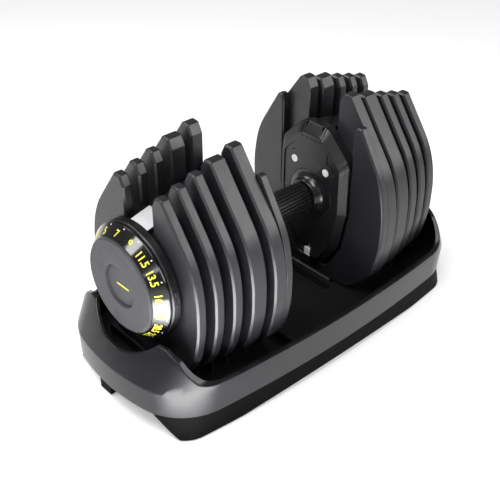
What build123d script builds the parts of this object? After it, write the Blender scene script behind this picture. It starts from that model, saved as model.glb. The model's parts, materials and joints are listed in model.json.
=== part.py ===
from build123d import *
import math
import os

# Adjustable dumbbell resting in its storage tray.
# X runs along the handle, Y across it, Z up; the origin is on the floor under the middle.
# Heights called "drop" or given with shaft_z() are measured from the handle's own axis.

# ---- driving dimensions (mm) ----
SHAFT_HEIGHT = 142.0        # handle axis above the floor
DIAL_FACE_X = 198.7         # outer face of each dial
GRIP_HALF_LENGTH = 47.0
GRIP_END_RADIUS = 16.0
GRIP_MID_RADIUS = 17.4
GRIP_GROOVES = 30
BAR_RADIUS = 8.0
SLEEVE_RADIUS = 13.0
RUNNING_CLEARANCE = 0.06    # shafts turning in their bores

# cover between the grip and the plates
COVER_FACE_X = 56.0
COVER_EDGE_X = 63.5
COVER_BACK_X = 73.6
COVER_WALL = 3.0
BOSS_RADIUS = 10.5
HOOD_HALF_WIDTH = 14.8
HOOD_BOTTOM = 66.5
PANEL_GAP = 0.4

# plates: inner face, outer face of each, counted outward from the grip
PLATE_STATIONS = [
    (64.5, 73.6),
    (74.0, 88.2),
    (94.4, 113.0),
    (121.0, 132.5),
    (140.5, 151.5),
    (159.5, 170.5),
]
PLATE_CHAMFER = 1.8
PLATE_BOTTOM = -104.0
SLOT_HALF_WIDTH = 21.0
CRADLE_PLATE_SLOT = 50.8    # half width of the innermost plate's wide slot

# cover outlines: (half width, height from the axis, corner radius), top to bottom
COVER_FACE_OUTLINE = [
    (15.0, 71.0, 18.0), (42.5, 44.0, 15.0), (43.0, -8.0, 30.0), (34.0, -52.0, 22.0),
    (15.0, -80.0, 10.0),
]
COVER_EDGE_OUTLINE = [
    (17.5, 82.0, 20.0), (49.0, 51.0, 17.0), (49.3, -9.0, 30.0), (40.0, -56.0, 22.0),
    (20.0, -87.0, 12.0),
]

# lock pin: sprung block in the foot of each cover
LOCK_PIN_X = 61.0
LOCK_PIN_BOTTOM = -82.6
LOCK_PIN_SHOULDER = -73.4
LOCK_PIN_TOP = -46.0
LOCK_STEM_RADIUS = 1.0
SPRING_LEDGE = (-52.8, -49.8)

# selector discs
DISC_RADIUS = 20.0
FLANGE_OUTER = 19.5
FLANGE_INNER = 17.5
HOOK_HALF_WIDTH = 4.0
HOOK_TOP = -14.5
HOOK_UNDERSIDE = -16.6
DISC_ARCS = [180, 140, 260, 120, 90, 200]   # degrees of lifting flange on each disc

# dial
DIAL_CAP_RADIUS = 48.4
NUMBER_RING_RADIUS = 60.0
RECESS_RADIUS = 22.5
END_HOUSING = (172.0, 181.5)
END_HOUSING_RADIUS = 60.5

# strip that runs from the hood to the end housing
STRIP_HALF_WIDTH = 13.0
STRIP_END_TOP = 57.0
INDEX_PLATE_START_X = 148.0
INDEX_PLATE_THICKNESS = 1.6

# tray
TRAY_HALF_LENGTH = 221.4
TRAY_HALF_WIDTH = 108.2     # at the shell's lower edge
TRAY_CORNER_RADIUS = 64.0
END_BOW = 20.0              # how far the ends bulge between the corners
SIDE_BOW = 13.5
END_LEAN = 0.5              # inward lean of the ends above the crease, per mm of height
SIDE_FLARE = 0.08           # outward lean of the long sides
SHELL_BOTTOM = 29.0
SHELL_CREASE = 57.0
SHELL_WALL = 4.5
RIM_HEIGHT = 65.0
HORN_HEIGHT = 98.5
DIAL_CRADLE_RADIUS = 66.0
HORN_SLOPE_FOOT = 97.0      # half width where the rim starts to rise to the horns
HORN_SLOPE_HEAD = 75.0
HORN_TIP = 60.0
LINER_BOTTOM = 34.0
LINER_WALL = 3.0
RIB_SPAN = (-60.0, 60.0)
RIB_HALF_THICKNESS = 1.4
SHELF_HALF_LENGTH = 52.0
LINER_FLOOR = SHAFT_HEIGHT + PLATE_BOTTOM - 0.3
BASE_BOTTOM = 2.2
BASE_CORNER_RADIUS = 32.0
BASE_END_BOW = 16.0
BASE_WALL = 4.0
SIDE_ARCH_HALF_LENGTH = 130.0
SIDE_ARCH_RISE = 5.6
END_ARCH_TOP = 56.0         # half widths of the lifting arch at its top and its foot
END_ARCH_FOOT = 88.0
END_LEG_X = (200.0, 212.0)  # short leg inside each lifting arch, off its middle
END_LEG_Y = (14.0, 32.0)
FOOT_RADIUS = 9.0

SIDES = (("left", -1), ("right", 1))


# ---- helpers ----
def shaft_z(z):
    """Height above the floor of a height given from the handle axis."""
    return SHAFT_HEIGHT + z


def save(name, part):
    part.label = name
    export_step(part, f"parts/{name}.step")


def mirrored(points):
    """Complete a symmetric outline from its half with y > 0, listed from first to last."""
    return points + [(-y, z, r) for y, z, r in reversed(points)]


def outline_face(points, x):
    """Face across the handle at station x, from (y, z from the axis, corner radius) points."""
    corners = [(y, shaft_z(z)) for y, z, r in points]
    radii = [r for y, z, r in points]
    wire = FilletPolyline(*corners, radius=radii, close=True)
    return Plane.YZ.offset(x) * make_face(wire)


def slab(points, x_from, x_to):
    """Straight slice along X with the given outline."""
    return extrude(outline_face(points, x_from), amount=x_to - x_from, dir=(1, 0, 0))


def block(x_range, y_range, z_range):
    """Axis-aligned block between the given limits, z from the floor."""
    size = [high - low for low, high in (x_range, y_range, z_range)]
    centre = [(high + low) / 2 for low, high in (x_range, y_range, z_range)]
    return Pos(*centre) * Box(*size)


def turned(profile):
    """Solid turned about the handle axis from closed (x, radius) points."""
    face = make_face(Polyline(*[(x, 0, r) for x, r in profile], close=True))
    return Pos(0, 0, SHAFT_HEIGHT) * revolve(face, Axis.X, 360)


def tube(x_from, x_to, inner, outer):
    """Ring about the handle axis."""
    return turned([(x_from, inner), (x_to, inner), (x_to, outer), (x_from, outer)])


def on_side(part, side):
    """Parts are drawn for the right-hand end and mirrored for the left."""
    return part if side > 0 else mirror(part, Plane.YZ)


# ---- tray ----
def tray_outline(half_length, half_width, radius, z, end_bow=END_BOW):
    """Plan outline: bowed ends and sides that meet in round corners."""
    corner_x, corner_y = half_length - end_bow, half_width - SIDE_BOW
    front_left, front_right = (-corner_x, -corner_y), (corner_x, -corner_y)
    back_left, back_right = (-corner_x, corner_y), (corner_x, corner_y)
    face = make_face([
        ThreePointArc(front_left, (0, -half_width), front_right),
        ThreePointArc(front_right, (half_length, 0), back_right),
        ThreePointArc(back_right, (0, half_width), back_left),
        ThreePointArc(back_left, (-half_length, 0), front_left),
    ])
    return Pos(0, 0, z) * fillet(face.vertices(), radius)


def tray_size(z, inset=0.0):
    """Half length, half width and corner radius of the shell's outside at height z."""
    half_length = TRAY_HALF_LENGTH - END_LEAN * max(z - SHELL_CREASE, 0.0)
    half_width = TRAY_HALF_WIDTH + SIDE_FLARE * (z - SHELL_BOTTOM)
    return half_length - inset, half_width - inset, TRAY_CORNER_RADIUS - inset


def tray_block(z_from, z_to, inset):
    """Solid inside the shell's outside surface, split at the crease."""
    levels = [z_from] + [z for z in (SHELL_CREASE,) if z_from < z < z_to] + [z_to]
    sections = [tray_outline(*tray_size(z, inset), z) for z in levels]
    return loft(sections, ruled=True)


def rim_cutter():
    """Everything above the tray's top edge: low along the sides, high round the dials."""
    half = [
        (140.0, HORN_HEIGHT + 60.0, 0), (140.0, RIM_HEIGHT, 0),
        (HORN_SLOPE_FOOT, RIM_HEIGHT, 16.0), (HORN_SLOPE_HEAD, HORN_HEIGHT - 8.0, 12.0),
        (HORN_TIP, HORN_HEIGHT, 8.0),
    ]
    points = [(y, z) for y, z, r in half] + [(-y, z) for y, z, r in reversed(half)]
    radii = [r for y, z, r in half]
    wire = FilletPolyline(*points, radius=radii + radii[::-1], close=True)
    above = extrude(Plane.YZ.offset(-240) * make_face(wire), amount=480, dir=(1, 0, 0))
    dial_cradle = Plane.YZ.offset(-240) * (Pos(0, SHAFT_HEIGHT) * Circle(DIAL_CRADLE_RADIUS))
    return above + extrude(dial_cradle, amount=480, dir=(1, 0, 0))


def tray_shell():
    outer = tray_block(SHELL_BOTTOM, HORN_HEIGHT + 4.0, 0.0)
    inner = tray_block(SHELL_BOTTOM - 1.0, HORN_HEIGHT + 5.0, SHELL_WALL)
    return outer - inner - rim_cutter()


def tray_liner():
    """Black tray floor with a rib between neighbouring plates and a shelf at mid length."""
    rim = RIM_HEIGHT - 2.0
    outside = SHELL_WALL + 0.2
    pan = tray_block(LINER_BOTTOM, rim, outside)
    pan -= tray_block(LINER_FLOOR, rim + 1.0, outside + LINER_WALL)
    inside = tray_block(LINER_BOTTOM, rim - 1.0, SHELL_WALL + 2.0)
    shelf_top = shaft_z(-95.0)
    details = block((-SHELF_HALF_LENGTH, SHELF_HALF_LENGTH), (-110, 110),
                    (LINER_FLOOR - 1, shelf_top))
    details -= block((-46, 46), (-50, 50), (LINER_FLOOR, shelf_top + 1))
    rib_top = shaft_z(-93.0)
    for (_, outer_face), (next_inner, _) in zip(PLATE_STATIONS[1:], PLATE_STATIONS[2:]):
        middle = (outer_face + next_inner) / 2
        for side in (-1, 1):
            limits = sorted((side * (middle - RIB_HALF_THICKNESS),
                             side * (middle + RIB_HALF_THICKNESS)))
            details += block(limits, RIB_SPAN, (LINER_FLOOR - 1, rib_top))
    for side in (-1, 1):
        ends = sorted((side * 173.0, side * 176.0))
        details += block(ends, RIB_SPAN, (LINER_FLOOR - 1, rib_top))
        ridge = Plane.XZ.offset(-38) * (
            Pos(side * 57.0, LINER_FLOOR - 2) * Ellipse(5.5, shaft_z(-96.0) - LINER_FLOOR + 2)
        )
        details += extrude(ridge, amount=76, dir=(0, -1, 0))
        post_limits = sorted((side * 57.2, side * 61.8))
        details += block(post_limits, (-4.3, 4.3), (LINER_FLOOR - 1, shaft_z(LOCK_PIN_BOTTOM)))
    liner = pan + (details & inside)
    for x, y in screw_places():
        liner -= Pos(x, y, LINER_BOTTOM + 4.0) * Cylinder(1.6, 9.0)
    return liner


def tray_base():
    """Black foot of the tray: a hollow pan with a lifting arch at each end."""
    top = (TRAY_HALF_LENGTH - 1.5, TRAY_HALF_WIDTH - 1.5, TRAY_CORNER_RADIUS, END_BOW)
    bottom = (TRAY_HALF_LENGTH - 5.5, TRAY_HALF_WIDTH - 2.0, BASE_CORNER_RADIUS, BASE_END_BOW)

    def pan(inset, z_from, z_to):
        sections = [
            tray_outline(length - inset, width - inset, radius - inset, z, bow)
            for (length, width, radius, bow), z in ((bottom, z_from), (top, z_to))
        ]
        return loft(sections, ruled=True)

    spigot_size = tray_size(SHELL_BOTTOM, SHELL_WALL + 0.4)
    spigot = extrude(tray_outline(*spigot_size, SHELL_BOTTOM), amount=LINER_BOTTOM - SHELL_BOTTOM)
    base = pan(0.0, BASE_BOTTOM, SHELL_BOTTOM) - pan(BASE_WALL, BASE_BOTTOM - 0.5, SHELL_BOTTOM)
    base += spigot
    # shallow arch under each long side, sloped arch under each end
    arch_start, arch_end = (-SIDE_ARCH_HALF_LENGTH, BASE_BOTTOM), (SIDE_ARCH_HALF_LENGTH, BASE_BOTTOM)
    side_arch = make_face([
        ThreePointArc(arch_start, (0, BASE_BOTTOM + SIDE_ARCH_RISE), arch_end),
        Line(arch_end, arch_start),
    ])
    base -= extrude(Plane.XZ.offset(-130.0) * side_arch, amount=260.0, dir=(0, -1, 0))
    end_arch = FilletPolyline(
        (-END_ARCH_FOOT, BASE_BOTTOM - 4.0), (-END_ARCH_TOP, SHELL_BOTTOM),
        (END_ARCH_TOP, SHELL_BOTTOM), (END_ARCH_FOOT, BASE_BOTTOM - 4.0),
        radius=[0, 8.0, 8.0, 0], close=True)
    for side in (-1, 1):
        arch = Plane.YZ.offset(side * 190.0) * make_face(end_arch)
        base -= extrude(arch, amount=40.0, dir=(side, 0, 0))
        leg_x = sorted(side * x for x in END_LEG_X)
        leg_y = sorted(-side * y for y in END_LEG_Y)
        base += block(leg_x, leg_y, (BASE_BOTTOM, SHELL_BOTTOM + 1.0))
    for x, y in foot_places():
        base += Pos(x, y, (BASE_BOTTOM + SHELL_BOTTOM) / 2 + 1) * Cylinder(
            FOOT_RADIUS + 2.0, SHELL_BOTTOM - BASE_BOTTOM + 1.0)
        base -= Pos(x, y, BASE_BOTTOM + 1.0) * Cylinder(FOOT_RADIUS - 2.0, 3.0)
    for x, y in screw_places():
        base -= Pos(x, y, LINER_BOTTOM - 2.5) * Cylinder(2.2, 8.0)
    return base


def foot_places():
    return [(x, y) for x in (-168.0, 168.0) for y in (-72.0, 72.0)]


def screw_places():
    return [(x, y) for x in (-30.0, 30.0) for y in (-74.0, 74.0)]


def tray_feet():
    """Rubber pads pressed into the base, standing on the floor."""
    pads = []
    for x, y in foot_places():
        pad = Pos(x, y, BASE_BOTTOM / 2) * Cylinder(FOOT_RADIUS, BASE_BOTTOM)
        pad = chamfer(pad.edges().group_by(Axis.Z)[0], 0.8)
        stem = Pos(x, y, BASE_BOTTOM + 1.0) * Cylinder(FOOT_RADIUS - 2.0, 2.0)
        pads.append(pad + stem)
    return Compound(children=pads)


def tray_screws():
    """Pan-head screws from below that hold the liner to the base."""
    screws = []
    for x, y in screw_places():
        head = Pos(x, y, SHELL_BOTTOM - 1.2) * Cylinder(3.8, 2.4)
        shank = Pos(x, y, SHELL_BOTTOM + 4.6) * Cylinder(1.6, 9.2)
        slot = Pos(x, y, SHELL_BOTTOM - 2.0) * Box(5.0, 1.0, 1.0)
        screws.append(head + shank - slot)
    return Compound(children=screws)


# ---- weight plates ----
def between(inner_value, outer_value, x):
    """Value that changes evenly from the thick inner plate to the outermost plate."""
    first = sum(PLATE_STATIONS[1]) / 2
    last = sum(PLATE_STATIONS[-1]) / 2
    return inner_value + (outer_value - inner_value) * (x - first) / (last - first)


def plate_sides(x):
    """Outer edge from the shoulder down to the flat bottom."""
    return [
        (between(92.5, 76.5, x), between(44.0, 42.0, x), 98.0),
        (between(99.0, 82.5, x), 6.0, 125.0),
        (between(98.5, 82.0, x), -30.0, 125.0),
        (between(89.0, 73.0, x), -72.0, 66.0),
        (between(56.0, 46.0, x), PLATE_BOTTOM, 34.0),
    ]


def tall_plate_outline(x):
    """U-shaped plate with two tall horns beside an open slot."""
    top = between(122.0, 98.0, x)
    half = [
        (SLOT_HALF_WIDTH, -SLOT_HALF_WIDTH, SLOT_HALF_WIDTH - 0.2),
        (SLOT_HALF_WIDTH, top - 11.0, 3.0),
        (SLOT_HALF_WIDTH + 5.5, top - 0.5, 3.0),
        (SLOT_HALF_WIDTH + 14.5, top, 4.0),
    ]
    return mirrored(half + plate_sides(x))


def low_plate_outline():
    """Innermost plate: low horns and a wide slot around the cover."""
    half = [
        (22.0, -89.5, 10.0),
        (42.0, -57.0, 14.0),
        (CRADLE_PLATE_SLOT, -9.0, 20.0),
        (CRADLE_PLATE_SLOT, 90.0, 3.5),
        (54.5, 97.0, 2.6),
        (60.5, 96.5, 3.5),
    ]
    return mirrored(half + plate_sides(sum(PLATE_STATIONS[1]) / 2))


def pick_up_hook(x, root):
    """Hook that stands up from the slot's floor and leans over the disc's flange."""
    width = (-HOOK_HALF_WIDTH, HOOK_HALF_WIDTH)
    post = block((x + 0.3, x + 2.8), width, (shaft_z(root), shaft_z(HOOK_TOP)))
    lip = block((x + 2.7, x + 5.8), width, (shaft_z(HOOK_UNDERSIDE), shaft_z(HOOK_TOP)))
    return post + lip


def plate(number):
    inner_face, outer_face = PLATE_STATIONS[number - 1]
    middle = (inner_face + outer_face) / 2
    low = number == 1
    outline = low_plate_outline() if low else tall_plate_outline(middle)
    body = slab(outline, inner_face, outer_face)
    faces = body.faces().filter_by(Axis.X).sort_by(Axis.X)
    chamfered = faces[0] if low else faces[-1]
    body = chamfer(chamfered.edges(), PLATE_CHAMFER)
    if not low:
        small = body.faces().filter_by(Axis.X).sort_by(Axis.X)[0]
        body = chamfer(small.edges(), 0.6 if number == 2 else PLATE_CHAMFER)
    return body + pick_up_hook(inner_face, -92.0 if low else -SLOT_HALF_WIDTH - 2.0)


# ---- selector: sleeve, discs and dial, all turning together ----
def selector_disc(number):
    """Thin disc with part of a flange; the flange under a hook picks up that plate."""
    start = PLATE_STATIONS[number - 1][0] + 3.3
    web = tube(start + 3.1, start + 5.1, SLEEVE_RADIUS, DISC_RADIUS)
    flange = tube(start, start + 3.2, FLANGE_INNER, FLANGE_OUTER)
    arc = DISC_ARCS[number - 1]
    wedge = Plane.YZ.offset(start - 1) * sector(arc, 30.0)
    return web + (flange & extrude(wedge, amount=6.0, dir=(1, 0, 0)))


def sector(arc, radius):
    """Pie slice about the handle axis, centred on straight down."""
    steps = max(4, arc // 15)
    points = [(0.0, SHAFT_HEIGHT)]
    for i in range(steps + 1):
        angle = math.radians(-90 - arc / 2 + arc * i / steps)
        points.append((radius * math.cos(angle), SHAFT_HEIGHT + radius * math.sin(angle)))
    return make_face(Polyline(*points, close=True))


def selector_sleeve():
    return tube(67.0, 187.0, BAR_RADIUS + RUNNING_CLEARANCE, SLEEVE_RADIUS)


def dial_cap():
    """Turned cap: flat face with a round recess, skirt, and a web fixed to the sleeve."""
    face = DIAL_FACE_X
    rim = DIAL_CAP_RADIUS
    return turned([
        (184.0, SLEEVE_RADIUS), (187.0, SLEEVE_RADIUS), (187.0, rim - 4.0), (194.0, rim - 4.0),
        (194.0, 26.0), (192.0, 26.0), (192.0, 20.0), (194.2, 20.0), (194.2, RECESS_RADIUS),
        (face - 0.5, RECESS_RADIUS), (face, RECESS_RADIUS + 0.5), (face, rim - 1.2),
        (face - 1.2, rim), (184.0, rim),
    ])


def dial_centre_cap():
    return tube(194.2, 195.8, 0.0, RECESS_RADIUS - 0.3)


def number_ring():
    """Sloping ring that carries the weight numbers."""
    inner = DIAL_CAP_RADIUS
    return turned([
        (182.2, inner), (196.4, inner), (196.4, 49.4), (185.2, NUMBER_RING_RADIUS - 0.6),
        (184.6, NUMBER_RING_RADIUS), (182.2, NUMBER_RING_RADIUS),
    ])


# ---- handle: bar, grip, covers and end housings ----
def scaled_outline(points, inset):
    """Outline pulled in by an inset along both axes."""
    return [(y - inset, z - math.copysign(inset, z), r) for y, z, r in points]


def cover_block(inset, back):
    """Bevelled cover shape, without its hollow."""
    face_x = COVER_FACE_X + inset
    edge_x = COVER_EDGE_X + inset * 0.4
    front = outline_face(mirrored(scaled_outline(COVER_FACE_OUTLINE, inset)), face_x)
    edge = outline_face(mirrored(scaled_outline(COVER_EDGE_OUTLINE, inset)), edge_x)
    rear = slab(mirrored(scaled_outline(COVER_EDGE_OUTLINE, inset)), edge_x, back)
    return loft([front, edge], ruled=True) + rear


def cover_screw_places():
    return [(-23.0, 34.5), (23.0, 34.5)]


def inner_cover():
    cover = cover_block(0.0, COVER_BACK_X) - cover_block(COVER_WALL, COVER_BACK_X + 1.0)
    # shallow panel round the collar, with a raised round pad and a boss at each screw
    panel = scaled_outline(COVER_FACE_OUTLINE, 3.5)
    recess = slab(mirrored(panel), COVER_FACE_X - 1.0, COVER_FACE_X + 1.2)
    pad = tube(COVER_FACE_X - 2.0, COVER_FACE_X + 2.0, 0.0, 32.0)
    (front_y, screw_z), (back_y, _) = cover_screw_places()
    for y in (front_y, back_y):
        pad += along_x(y, screw_z, BOSS_RADIUS, COVER_FACE_X - 2.0, COVER_FACE_X + 2.0)
    pad += block((COVER_FACE_X - 2.0, COVER_FACE_X + 2.0), (front_y, back_y),
                 (shaft_z(screw_z - BOSS_RADIUS), shaft_z(80.0)))
    cover -= recess - pad
    # opening for the hood
    hood_space = HOOD_HALF_WIDTH + PANEL_GAP
    cover -= block((50, 80), (-hood_space, hood_space), (shaft_z(HOOD_BOTTOM - PANEL_GAP), 300))
    # bores for bar and screws
    cover -= tube(50.0, 60.0, 0.0, BAR_RADIUS)
    for y, z in cover_screw_places():
        cover -= along_x(y, z, 1.7, 50.0, 60.0)
        cover -= along_x(y, z, 4.6, 50.0, COVER_FACE_X + 0.8)
    # bottom: window for the lock pin and slot for the innermost plate's hook
    cover -= block((55, 62.6), (-5.0, 5.0), (shaft_z(-95.0), shaft_z(-68.0)))
    cover -= block((62, 75), (-6.0, 6.0), (shaft_z(-95.0), shaft_z(-70.0)))
    # ledge that the lock spring pushes against
    low, high = SPRING_LEDGE
    ledge = block((COVER_FACE_X + COVER_WALL - 0.5, 64.2), (-6.0, 6.0),
                  (shaft_z(low), shaft_z(high)))
    return cover + (ledge - upright(LOCK_PIN_X, LOCK_STEM_RADIUS + 0.2, low - 2, high + 2))


def along_x(y, z, radius, x_from, x_to):
    """Round pin along X at (y, z from the axis)."""
    disc = Plane.YZ.offset(x_from) * (Pos(y, shaft_z(z)) * Circle(radius))
    return extrude(disc, amount=x_to - x_from, dir=(1, 0, 0))


def upright(x, radius, z_from, z_to):
    """Upright round pin on the middle plane, heights from the axis."""
    return Pos(x, 0, shaft_z((z_from + z_to) / 2)) * Cylinder(radius, z_to - z_from)


def lock_pin():
    """White sprung block that the tray's post holds up while the dumbbell is stored."""
    head = block((57.0, 62.2), (-4.5, 4.5),
                 (shaft_z(LOCK_PIN_BOTTOM), shaft_z(LOCK_PIN_SHOULDER)))
    return head + upright(LOCK_PIN_X, LOCK_STEM_RADIUS, LOCK_PIN_SHOULDER - 0.1, LOCK_PIN_TOP)


def lock_spring():
    """Coil spring round the lock pin's stem, between its shoulder and the cover's ledge."""
    wire_radius = 0.3
    gap = 0.1
    height = SPRING_LEDGE[0] - LOCK_PIN_SHOULDER - 2 * (wire_radius + gap)
    path = Helix(pitch=height / 6.0, height=height, radius=1.7)
    wire = sweep(Plane(origin=path @ 0, z_dir=path % 0) * Circle(wire_radius), path,
                 is_frenet=True)
    return Pos(LOCK_PIN_X, 0, shaft_z(LOCK_PIN_SHOULDER) + wire_radius + gap) * wire


def support_plate():
    """Steel plate behind the cover that ties bar, cover and bridge together."""
    outline = mirrored([(13.0, 66.0, 2.0), (36.0, 44.0, 5.0), (36.0, -10.0, 8.0),
                        (22.0, -36.0, 8.0)])
    plate_body = slab(outline, COVER_FACE_X + COVER_WALL, 61.6)
    plate_body -= tube(50.0, 70.0, 0.0, BAR_RADIUS)
    for y, z in cover_screw_places():
        plate_body -= along_x(y, z, 1.7, 50.0, 70.0)
    return plate_body


def strip_top(x):
    """Height of the strip's top beyond its first short stretch."""
    start_x, start_z = 90.0, 77.0
    share = (x - start_x) / (END_HOUSING[0] - start_x)
    return start_z + (STRIP_END_TOP - start_z) * share


def strip_piece(side_view):
    """Piece of the strip from its (x, z from the axis) side view."""
    face = make_face(Polyline(*[(x, shaft_z(z)) for x, z in side_view], close=True))
    return extrude(Plane.XZ.offset(-STRIP_HALF_WIDTH) * face, amount=2 * STRIP_HALF_WIDTH,
                   dir=(0, -1, 0))


def bridge():
    """Hood at the top of the cover, running on as a strip above the discs to the end."""
    hood = cover_block(0.0, COVER_BACK_X) & block(
        (50, 80), (-HOOD_HALF_WIDTH, HOOD_HALF_WIDTH), (shaft_z(HOOD_BOTTOM), 300))
    end = END_HOUSING[0]
    step = INDEX_PLATE_START_X
    strip = strip_piece([
        (COVER_BACK_X, 68.0), (COVER_BACK_X, 79.0), (90.0, strip_top(90.0)),
        (step, strip_top(step)), (step, strip_top(step) - INDEX_PLATE_THICKNESS),
        (end, STRIP_END_TOP - INDEX_PLATE_THICKNESS), (end, 50.0), (90.0, 68.0),
    ])
    return hood + strip


def index_plate():
    """Light inlay at the strip's outer end that marks where the dial is read."""
    end = END_HOUSING[0]
    step = INDEX_PLATE_START_X
    return strip_piece([
        (step, strip_top(step)), (end, STRIP_END_TOP),
        (end, STRIP_END_TOP - INDEX_PLATE_THICKNESS),
        (step, strip_top(step) - INDEX_PLATE_THICKNESS),
    ])


def end_housing():
    """Round end wall beside the outermost plate, holding the sleeve's bush."""
    x_in, x_out = END_HOUSING
    return turned([
        (x_in, 16.0), (x_out, 16.0), (x_out, END_HOUSING_RADIUS - 1.5),
        (x_out - 1.5, END_HOUSING_RADIUS), (x_in, END_HOUSING_RADIUS),
    ])


def end_bush():
    return tube(*END_HOUSING, SLEEVE_RADIUS + RUNNING_CLEARANCE, 16.0)


def collar():
    """Flared collar between grip and cover."""
    root = GRIP_HALF_LENGTH
    face = make_face([
        Polyline((COVER_FACE_X, 0, 29.0), (COVER_FACE_X, 0, BAR_RADIUS), (root, 0, BAR_RADIUS),
                 (root, 0, 17.8), (root + 0.8, 0, 18.6)),
        ThreePointArc((root + 0.8, 0, 18.6), (root + 6.0, 0, 21.4), (COVER_FACE_X, 0, 29.0)),
    ])
    return Pos(0, 0, SHAFT_HEIGHT) * revolve(face, Axis.X, 360)


def grip():
    """Barrel-shaped grip with grooves along its length."""
    half = GRIP_HALF_LENGTH
    top = ThreePointArc((-half, 0, GRIP_END_RADIUS), (0, 0, GRIP_MID_RADIUS),
                        (half, 0, GRIP_END_RADIUS))
    rest = Polyline((half, 0, GRIP_END_RADIUS), (half, 0, BAR_RADIUS),
                    (-half, 0, BAR_RADIUS), (-half, 0, GRIP_END_RADIUS))
    body = revolve(make_face(top + rest), Axis.X, 360)
    groove_floor = GRIP_END_RADIUS - 0.7
    groove_length = 2 * (half - 5.0)
    for i in range(GRIP_GROOVES):
        groove = Pos(0, 0, groove_floor + 2.0) * Box(groove_length, 1.1, 4.0)
        body -= Rot(360.0 * i / GRIP_GROOVES, 0, 0) * groove
    return Pos(0, 0, SHAFT_HEIGHT) * body


def core_bar():
    bar = tube(-187.5, 187.5, 0.0, BAR_RADIUS)
    for side in (-1, 1):
        limits = sorted((side * 165.0, side * 187.5))
        bar -= tube(*limits, 0.0, 3.4)
    return bar


def bar_nut():
    hexagon = Plane.YZ.offset(61.6) * (Pos(0, SHAFT_HEIGHT) * RegularPolygon(11.6, 6))
    return extrude(hexagon, amount=4.6, dir=(1, 0, 0)) - tube(60.0, 68.0, 0.0, BAR_RADIUS)


def cover_screw(y, z):
    head = along_x(y, z, 4.2, COVER_FACE_X - 0.4, COVER_FACE_X + 0.8)
    shank = along_x(y, z, 1.7, COVER_FACE_X + 0.8, 61.6)
    recess = Pos(COVER_FACE_X - 0.2, y, shaft_z(z)) * (
        Box(1.0, 4.6, 0.9) + Box(1.0, 0.9, 4.6))
    return head + shank - recess


def end_screw():
    head = along_x(0, 0, 7.0, 189.0, 191.6)
    shank = along_x(0, 0, 3.4, 168.0, 189.0)
    socket = Plane.YZ.offset(190.0) * (Pos(0, SHAFT_HEIGHT) * RegularPolygon(3.4, 6))
    return head + shank - extrude(socket, amount=3.0, dir=(1, 0, 0))


def end_washer():
    return tube(187.5, 189.0, 3.4, 12.0)


# ---- write every sub-part ----
def both_sides(pieces):
    """One compound with the right-hand pieces and their left-hand twins."""
    return Compound(children=[on_side(piece, side) for _, side in SIDES for piece in pieces])


def main():
    os.makedirs("parts", exist_ok=True)
    save("tray_shell", tray_shell())
    save("tray_liner", tray_liner())
    save("tray_base", tray_base())
    save("tray_feet", tray_feet())
    save("tray_screws", tray_screws())
    save("core_bar", core_bar())
    save("grip", grip())
    for name, side in SIDES:
        save(f"grip_collar_{name}", on_side(collar(), side))
        save(f"inner_cover_{name}", on_side(inner_cover(), side))
        save(f"support_plate_{name}", on_side(support_plate(), side))
        save(f"bridge_{name}", on_side(bridge(), side))
        save(f"index_plate_{name}", on_side(index_plate(), side))
        save(f"end_housing_{name}", on_side(end_housing(), side))
        save(f"lock_pin_{name}", on_side(lock_pin(), side))
        save(f"lock_spring_{name}", on_side(lock_spring(), side))
        save(f"selector_sleeve_{name}", on_side(selector_sleeve(), side))
        save(f"dial_cap_{name}", on_side(dial_cap(), side))
        save(f"dial_centre_{name}", on_side(dial_centre_cap(), side))
        save(f"number_ring_{name}", on_side(number_ring(), side))
        for number in range(1, len(PLATE_STATIONS) + 1):
            save(f"plate_{name}_{number}", on_side(plate(number), side))
            save(f"disc_{name}_{number}", on_side(selector_disc(number), side))
    save("end_bushes", both_sides([end_bush()]))
    save("bar_nuts", both_sides([bar_nut()]))
    save("cover_screws", both_sides([cover_screw(y, z) for y, z in cover_screw_places()]))
    save("end_screws", both_sides([end_screw()]))
    save("end_washers", both_sides([end_washer()]))


main()
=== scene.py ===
"""Looks of the adjustable dumbbell and its tray: materials, printed numbers, floor, lights."""

import json
import math

import bmesh
import bpy
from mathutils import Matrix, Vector


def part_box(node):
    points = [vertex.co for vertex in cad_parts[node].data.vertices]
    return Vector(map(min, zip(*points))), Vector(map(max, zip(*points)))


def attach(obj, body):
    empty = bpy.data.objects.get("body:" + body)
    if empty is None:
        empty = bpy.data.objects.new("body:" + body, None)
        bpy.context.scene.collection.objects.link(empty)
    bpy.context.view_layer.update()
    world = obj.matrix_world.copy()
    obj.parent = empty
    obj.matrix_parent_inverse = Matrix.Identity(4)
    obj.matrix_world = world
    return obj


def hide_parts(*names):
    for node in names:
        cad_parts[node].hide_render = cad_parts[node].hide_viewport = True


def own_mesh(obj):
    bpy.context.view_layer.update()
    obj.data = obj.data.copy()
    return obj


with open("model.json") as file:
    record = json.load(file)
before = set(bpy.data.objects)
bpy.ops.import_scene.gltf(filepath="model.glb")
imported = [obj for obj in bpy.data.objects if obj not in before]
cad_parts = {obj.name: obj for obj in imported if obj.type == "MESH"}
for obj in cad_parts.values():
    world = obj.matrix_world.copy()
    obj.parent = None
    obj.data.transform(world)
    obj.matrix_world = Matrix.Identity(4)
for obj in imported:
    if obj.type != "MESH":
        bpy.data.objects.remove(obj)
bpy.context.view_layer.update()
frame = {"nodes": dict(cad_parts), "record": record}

SIDES = (("left", -1), ("right", 1))
bar_low, bar_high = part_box("core_bar")
SHAFT_Z = (bar_low.z + bar_high.z) / 2      # height of the handle's axis

# sizes in metres, turns in degrees
CLOUD_SCALE = 38.0            # broad tone changes, per metre
SHEEN_SCALE = 95.0            # patches of uneven sheen
FLAT_ANGLE = 0.5              # triangles this close to flat are merged
EDGE_ANGLE = 24.0             # edges sharper than this are rounded
WELD_DISTANCE = 0.00001
NORMAL_WEIGHT = 80


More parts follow.
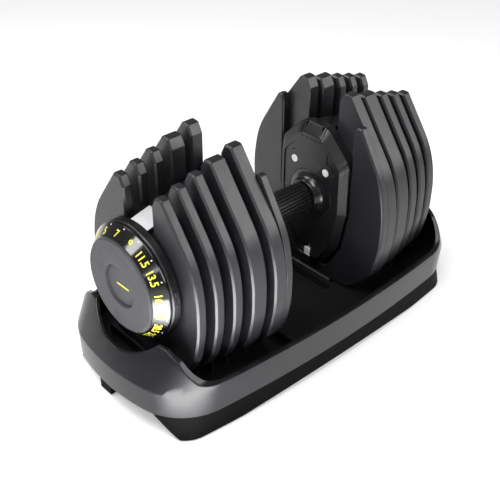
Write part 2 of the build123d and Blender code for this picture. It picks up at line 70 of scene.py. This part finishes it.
# ---- node helpers ----
def new_material(name):
    material = bpy.data.materials.new(name)
    material.use_nodes = True
    nodes = material.node_tree.nodes
    nodes.clear()
    output = nodes.new("ShaderNodeOutputMaterial")
    shader = nodes.new("ShaderNodeBsdfPrincipled")
    material.node_tree.links.new(shader.outputs["BSDF"], output.inputs["Surface"])
    return material, shader


def add_noise(material, scale, detail=3.0, roughness=0.55):
    nodes, links = material.node_tree.nodes, material.node_tree.links
    place = nodes.new("ShaderNodeTexCoord")
    noise = nodes.new("ShaderNodeTexNoise")
    noise.inputs["Scale"].default_value = scale
    noise.inputs["Detail"].default_value = detail
    noise.inputs["Roughness"].default_value = roughness
    links.new(place.outputs["Object"], noise.inputs["Vector"])
    return noise


def add_range(material, source, low, high):
    nodes, links = material.node_tree.nodes, material.node_tree.links
    spread = nodes.new("ShaderNodeMapRange")
    spread.inputs["From Min"].default_value = 0.3
    spread.inputs["From Max"].default_value = 0.7
    spread.inputs["To Min"].default_value = low
    spread.inputs["To Max"].default_value = high
    links.new(source, spread.inputs["Value"])
    return spread.outputs["Result"]


def add_two_tones(material, source, dark, light):
    nodes, links = material.node_tree.nodes, material.node_tree.links
    ramp = nodes.new("ShaderNodeValToRGB")
    ramp.color_ramp.elements[0].position = 0.3
    ramp.color_ramp.elements[1].position = 0.7
    ramp.color_ramp.elements[0].color = (*dark, 1.0)
    ramp.color_ramp.elements[1].color = (*light, 1.0)
    links.new(source, ramp.inputs["Fac"])
    return ramp.outputs["Color"]


def add_bump(material, shader, source, strength, distance):
    nodes, links = material.node_tree.nodes, material.node_tree.links
    bump = nodes.new("ShaderNodeBump")
    bump.inputs["Strength"].default_value = strength
    bump.inputs["Distance"].default_value = distance
    links.new(source, bump.inputs["Height"])
    links.new(bump.outputs["Normal"], shader.inputs["Normal"])


def moulded_material(name, colour, roughness, grain=2600.0, grain_depth=0.00003,
                     variation=0.12, metallic=0.0, coat=0.0, coat_roughness=0.1,
                     specular=0.5, strength=0.35, unevenness=0.035):
    """Moulded or coated surface: faint cloudy tone, uneven sheen and a fine grain."""
    material, shader = new_material(name)
    links = material.node_tree.links
    clouds = add_noise(material, CLOUD_SCALE, 4.0)
    dark = tuple(c * (1 - variation) for c in colour)
    light = tuple(c * (1 + variation) for c in colour)
    links.new(add_two_tones(material, clouds.outputs["Fac"], dark, light),
              shader.inputs["Base Color"])
    patches = add_noise(material, SHEEN_SCALE, 5.0)
    links.new(add_range(material, patches.outputs["Fac"], roughness - unevenness,
                        roughness + unevenness), shader.inputs["Roughness"])
    grains = add_noise(material, grain, 2.0)
    add_bump(material, shader, grains.outputs["Fac"], strength, grain_depth)
    shader.inputs["Metallic"].default_value = metallic
    shader.inputs["Coat Weight"].default_value = coat
    shader.inputs["Coat Roughness"].default_value = coat_roughness
    shader.inputs["Specular IOR Level"].default_value = specular
    return material


def make_materials():
    m = {}
    m["plate"] = moulded_material("coated_plate", (0.012, 0.012, 0.0145), 0.36, specular=0.55)
    m["shell"] = moulded_material("shell_plastic", (0.007, 0.007, 0.009), 0.25, specular=0.38,
                                   unevenness=0.012)
    m["liner"] = moulded_material("liner_plastic", (0.006, 0.006, 0.0065), 0.42, specular=0.3)
    m["base"] = moulded_material("base_plastic", (0.002, 0.002, 0.0024), 0.55, specular=0.04)
    m["rubber"] = moulded_material("foot_rubber", (0.010, 0.010, 0.010), 0.75)
    m["cover"] = moulded_material("cover_plastic", (0.008, 0.008, 0.009), 0.30, specular=0.48,
                                   strength=0.12)
    m["dial"] = moulded_material("dial_plastic", (0.064, 0.064, 0.070), 0.46, specular=0.12)
    m["number_ring"] = moulded_material("number_ring_gloss", (0.003, 0.003, 0.003), 0.14,
                                        coat=0.5, coat_roughness=0.06, grain=400.0)
    m["grip"] = moulded_material("grip_rubber", (0.008, 0.008, 0.009), 0.40)
    m["collar"] = moulded_material("collar_gloss", (0.010, 0.010, 0.011), 0.22)
    m["disc"] = moulded_material("disc_plastic", (0.008, 0.008, 0.009), 0.5)
    m["index_plate"] = moulded_material("index_plastic", (0.55, 0.55, 0.56), 0.45)
    m["steel"] = moulded_material("machined_steel", (0.45, 0.45, 0.46), 0.32, metallic=1.0)
    # Zinc plating, partly a painted highlight: near-white colour with little metal reflection
    # keeps the screw heads bright under any lamp.
    m["zinc"] = moulded_material("zinc_and_painted_highlight", (0.90, 0.90, 0.91), 0.30, metallic=0.3,
                                 grain=1200.0)
    m["white_plastic"] = moulded_material("white_plastic", (0.93, 0.93, 0.92), 0.38,
                                          variation=0.04)
    m["number_ink"] = moulded_material("yellow_print", (0.72, 0.68, 0.06), 0.35,
                                       variation=0.06)
    m["dot_ink"] = moulded_material("white_print", (0.85, 0.85, 0.83), 0.35, variation=0.04)
    return m


# ---- frame nodes: edges and materials ----
BEVELS = {"plate": 0.0009, "shell": 0.0009, "cover": 0.0006, "dial": 0.0006,
          "number_ring": 0.0003, "liner": 0.0006, "base": 0.0006, "white_plastic": 0.0005}


def soften_edges(obj, width):
    """Join the split faces, merge flat triangles, round the sharp edges and smooth."""
    weld = obj.modifiers.new("weld", "WELD")
    weld.merge_threshold = WELD_DISTANCE
    flat = obj.modifiers.new("flat", "DECIMATE")
    flat.decimate_type = "DISSOLVE"
    flat.angle_limit = math.radians(FLAT_ANGLE)
    if width:
        bevel = obj.modifiers.new("bevel", "BEVEL")
        bevel.width = width
        bevel.segments = 2
        bevel.limit_method = "ANGLE"
        bevel.angle_limit = math.radians(EDGE_ANGLE)
        bevel.harden_normals = False
        bevel.use_clamp_overlap = True
    for polygon in obj.data.polygons:
        polygon.use_smooth = True


def dress_frame(materials):
    slots = {s["node"]: s["material_slot"] for s in frame["record"]["subparts"]}
    for name, obj in frame["nodes"].items():
        slot = slots[name]
        obj.data.materials.clear()
        obj.data.materials.append(materials[slot])
        soften_edges(obj, BEVELS.get(slot, 0.0))
        weight_normals(obj)


def weight_normals(obj):
    """Let the large faces set the shading, with sharp edges kept."""
    if obj.data.has_custom_normals:
        bpy.context.view_layer.objects.active = obj
        bpy.ops.mesh.customdata_custom_splitnormals_clear()
    normals = obj.modifiers.new("normals", "WEIGHTED_NORMAL")
    normals.keep_sharp = True
    normals.weight = NORMAL_WEIGHT


# ---- printed marks on the dials ----
# kilogram steps round the ring
WEIGHTS = ("5", "7", "9", "11.5", "13.5", "16", "18", "20.5", "22.5", "25", "27", "29.5",
           "32", "34", "36.5", "38.5", "40")
FIRST_NUMBER_TURN = math.radians(-28)     # clockwise from the top, seen from outside
NUMBER_HEIGHT = 0.0074
DOT_RADIUS = 0.0009
PRINT_THICKNESS = 0.00016
MARK_LENGTH, MARK_WIDTH = 0.019, 0.0017
NUMBER_SHARE = 0.43           # how far up the ring's slope the numbers stand
NUMBER_WIDTH = 0.88           # numbers are set a little narrow
DOT_SHARE = 0.90
DOT_OFFSET = 0.28             # each dot's place between two numbers
MARK_SHIFT = 0.0026           # the mark stands a little off the cap's middle
TEXT_SIZE_RATIO = 1.42        # font size over figure height
BOLDNESS = 0.035


class NumberBand:
    """Sloping face of a dial's number ring, unrolled: across is clockwise, up is outward."""

    def __init__(self, side_name, side):
        ring_low, ring_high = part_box(f"number_ring_{side_name}")
        cap_low, cap_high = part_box(f"dial_cap_{side_name}")
        self.side = side
        self.shaft = Vector((0, (ring_low.y + ring_high.y) / 2, (ring_low.z + ring_high.z) / 2))
        outer = (ring_high.z - ring_low.z) / 2 - 0.0006
        inner = (cap_high.z - cap_low.z) / 2 + 0.001
        front = max(abs(ring_low.x), abs(ring_high.x))
        back = min(abs(ring_low.x), abs(ring_high.x)) + 0.003
        self.slope = Vector((back - front, outer - inner))
        self.start = Vector((front, inner))

    def place(self, turn, up, lift):
        """Point at a clockwise turn, a share up the slope (0 to 1) and a height above it."""
        normal = Vector((self.slope.y, -self.slope.x)).normalized()
        spot = self.start + self.slope * up + normal * lift
        radial = Vector((0, math.sin(turn) * self.side, math.cos(turn)))
        return self.shaft + Vector((spot.x * self.side, 0, 0)) + radial * spot.y

    def radius(self, up):
        return (self.start + self.slope * up).y


def text_mesh(name, text, height):
    """Mesh of a short number, centred, as tall as asked."""
    curve = bpy.data.curves.new(name, "FONT")
    curve.body = text
    curve.align_x, curve.align_y = "CENTER", "CENTER"
    curve.size = height * TEXT_SIZE_RATIO
    curve.offset = height * BOLDNESS
    curve.extrude = PRINT_THICKNESS
    curve.resolution_u = 5
    lettering = bpy.data.objects.new(name, curve)
    bpy.context.scene.collection.objects.link(lettering)
    bpy.context.view_layer.update()
    evaluated = lettering.evaluated_get(bpy.context.evaluated_depsgraph_get())
    mesh = bpy.data.meshes.new_from_object(evaluated)
    bpy.data.objects.remove(lettering)
    bpy.data.curves.remove(curve)
    mesh.name = name
    return mesh


def printed_piece(name, mesh, material, body):
    piece = bpy.data.objects.new(name, mesh)
    mesh.materials.clear()
    mesh.materials.append(material)
    bpy.context.scene.collection.objects.link(piece)
    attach(piece, body)


def make_numbers(side_name, side, materials):
    band = NumberBand(side_name, side)
    slope_length = band.slope.length
    step = 2 * math.pi / len(WEIGHTS)
    joined = bmesh.new()
    for index, weight in enumerate(WEIGHTS):
        turn = FIRST_NUMBER_TURN + index * step
        part = text_mesh(f"number_{side_name}_{index}", weight, NUMBER_HEIGHT)
        for vertex in part.vertices:
            across, up, lift = vertex.co
            share = NUMBER_SHARE + up / slope_length
            around = across * NUMBER_WIDTH / band.radius(NUMBER_SHARE)
            vertex.co = band.place(turn + around, share, lift)
        joined.from_mesh(part)
        bpy.data.meshes.remove(part)
    mesh = bpy.data.meshes.new(f"numbers_{side_name}")
    bmesh.ops.recalc_face_normals(joined, faces=joined.faces)
    joined.to_mesh(mesh)
    joined.free()
    printed_piece(f"numbers_{side_name}", mesh, materials["number_ink"],
                  f"dial_{side_name}")


def make_dots(side_name, side, materials):
    band = NumberBand(side_name, side)
    slope_length = band.slope.length
    step = 2 * math.pi / len(WEIGHTS)
    dots = bmesh.new()
    for index in range(len(WEIGHTS)):
        turn = FIRST_NUMBER_TURN + (index + DOT_OFFSET) * step
        made = bmesh.ops.create_cone(dots, cap_ends=True, segments=20, radius1=DOT_RADIUS,
                                     radius2=DOT_RADIUS * 0.7, depth=PRINT_THICKNESS * 3)
        for vertex in made["verts"]:
            across, up, lift = vertex.co
            share = DOT_SHARE + up / slope_length
            vertex.co = band.place(turn + across / band.radius(DOT_SHARE), share, lift)
    mesh = bpy.data.meshes.new(f"dots_{side_name}")
    bmesh.ops.recalc_face_normals(dots, faces=dots.faces)
    dots.to_mesh(mesh)
    dots.free()
    printed_piece(f"dots_{side_name}", mesh, materials["dot_ink"], f"dial_{side_name}")


def make_centre_mark(side_name, side, materials):
    """Short dash with round ends on the dial's centre cap."""
    low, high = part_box(f"dial_centre_{side_name}")
    face_x = high.x if side > 0 else low.x
    middle = Vector((face_x, (low.y + high.y) / 2 + side * MARK_SHIFT, (low.z + high.z) / 2))
    mark = bmesh.new()
    reach = MARK_LENGTH / 2 - MARK_WIDTH / 2
    steps = 12
    rim = []
    for end, start_angle in ((1, -90), (-1, 90)):
        for k in range(steps + 1):
            angle = math.radians(start_angle + 180 * k / steps)
            rim.append((end * reach + math.cos(angle) * MARK_WIDTH / 2,
                        math.sin(angle) * MARK_WIDTH / 2))
    lower = [mark.verts.new(middle + Vector((-side * 0.0001, y, z))) for y, z in rim]
    upper = [mark.verts.new(middle + Vector((side * PRINT_THICKNESS * 2, y, z)))
             for y, z in rim]
    mark.faces.new(upper)
    mark.faces.new(lower)
    for k in range(len(rim)):
        after = (k + 1) % len(rim)
        mark.faces.new((lower[k], lower[after], upper[after], upper[k]))
    mesh = bpy.data.meshes.new(f"centre_mark_{side_name}")
    bmesh.ops.recalc_face_normals(mark, faces=mark.faces)
    mark.to_mesh(mesh)
    mark.free()
    printed_piece(f"centre_mark_{side_name}", mesh, materials["number_ink"],
                  f"dial_{side_name}")


# ---- lock springs ----
def make_spring(side_name, material):
    """Copy of a lock spring, carried by the handle in place of its hidden frame node."""
    node = f"lock_spring_{side_name}"
    piece = bpy.data.objects.new(f"coil_spring_{side_name}", frame["nodes"][node].data.copy())
    piece.data.materials.clear()
    piece.data.materials.append(material)
    bpy.context.scene.collection.objects.link(piece)
    for polygon in piece.data.polygons:
        polygon.use_smooth = True
    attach(piece, "handle")
    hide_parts(node)
    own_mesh(piece)


# ---- floor, lights, camera ----
def make_floor():
    half = 9.0
    mesh = bpy.data.meshes.new("floor")
    mesh.from_pydata([(-half, -half, 0), (half, -half, 0), (half, half, 0), (-half, half, 0)],
                     [], [(0, 1, 2, 3)])
    floor = bpy.data.objects.new("floor", mesh)
    bpy.context.scene.collection.objects.link(floor)
    material, shader = new_material("pale_floor")
    shader.inputs["Base Color"].default_value = (0.95, 0.95, 0.95, 1.0)
    shader.inputs["Roughness"].default_value = 0.8
    shader.inputs["Emission Color"].default_value = (1.0, 1.0, 1.0, 1.0)
    shader.inputs["Emission Strength"].default_value = 0.30
    mesh.materials.append(material)


def add_light(name, place, aim, size, power):
    """Soft rectangular lamp aimed at a point."""
    data = bpy.data.lights.new(name, "AREA")
    data.shape = "RECTANGLE"
    data.size, data.size_y = size
    data.energy = power
    light = bpy.data.objects.new(name, data)
    light.location = place
    direction = Vector(aim) - Vector(place)
    light.rotation_euler = direction.to_track_quat("-Z", "Y").to_euler()
    bpy.context.scene.collection.objects.link(light)


def make_lights():
    world = bpy.data.worlds.new("studio")
    world.use_nodes = True
    world.node_tree.nodes["Background"].inputs["Color"].default_value = (1.0, 1.0, 1.0, 1.0)
    world.node_tree.nodes["Background"].inputs["Strength"].default_value = 0.22
    bpy.context.scene.world = world
    middle = (0.0, 0.0, 0.12)
    add_light("top_softbox", (-0.62, -0.22, 1.55), middle, (1.0, 0.6), 18.0)
    add_light("front_softbox", (1.0, -1.45, 0.95), middle, (1.2, 0.9), 19.0)
    add_light("back_softbox", (-0.50, 0.87, 1.15), middle, (0.6, 0.4), 5.0)
    add_light("dial_card", (-0.73, 0.17, 0.74), (-0.19, -0.02, 0.19), (0.24, 0.24), 1.8)
    add_light("dial_side_card", (-0.86, -0.49, 0.53), (-0.19, -0.03, 0.19), (0.2, 0.2), 0.6)
    add_floor_pool()


def add_floor_pool():
    """Spot lamp that lights a round patch of the floor beyond the tray's near corner."""
    data = bpy.data.lights.new("floor_pool", "SPOT")
    data.energy = 600.0
    data.spot_size = math.radians(19.0)
    data.spot_blend = 0.35
    data.shadow_soft_size = 0.03
    pool = bpy.data.objects.new("floor_pool", data)
    pool.location = (-0.42, -0.34, 1.0)
    aim = Vector((-0.312, -0.238, 0.0)) - pool.location
    pool.rotation_euler = aim.to_track_quat("-Z", "Y").to_euler()
    bpy.context.scene.collection.objects.link(pool)


def make_camera():
    data = bpy.data.cameras.new("camera")
    data.sensor_width = 36.0
    data.lens = 65.7
    camera = bpy.data.objects.new("camera", data)
    bpy.context.scene.collection.objects.link(camera)
    shaft = Vector((0.0, 0.0, SHAFT_Z))
    camera.location = shaft + Vector((-0.5733, -0.5932, 0.5143))
    forward = Vector((0.5567, 0.6092, -0.5647))
    camera.rotation_euler = forward.to_track_quat("-Z", "Y").to_euler()
    bpy.context.scene.camera = camera


def main():
    bpy.context.scene.view_settings.view_transform = "Standard"
    materials = make_materials()
    dress_frame(materials)
    for side_name, side in SIDES:
        make_numbers(side_name, side, materials)
        make_dots(side_name, side, materials)
        make_centre_mark(side_name, side, materials)
        make_spring(side_name, materials["zinc"])
    make_floor()
    make_lights()
    make_camera()


main()
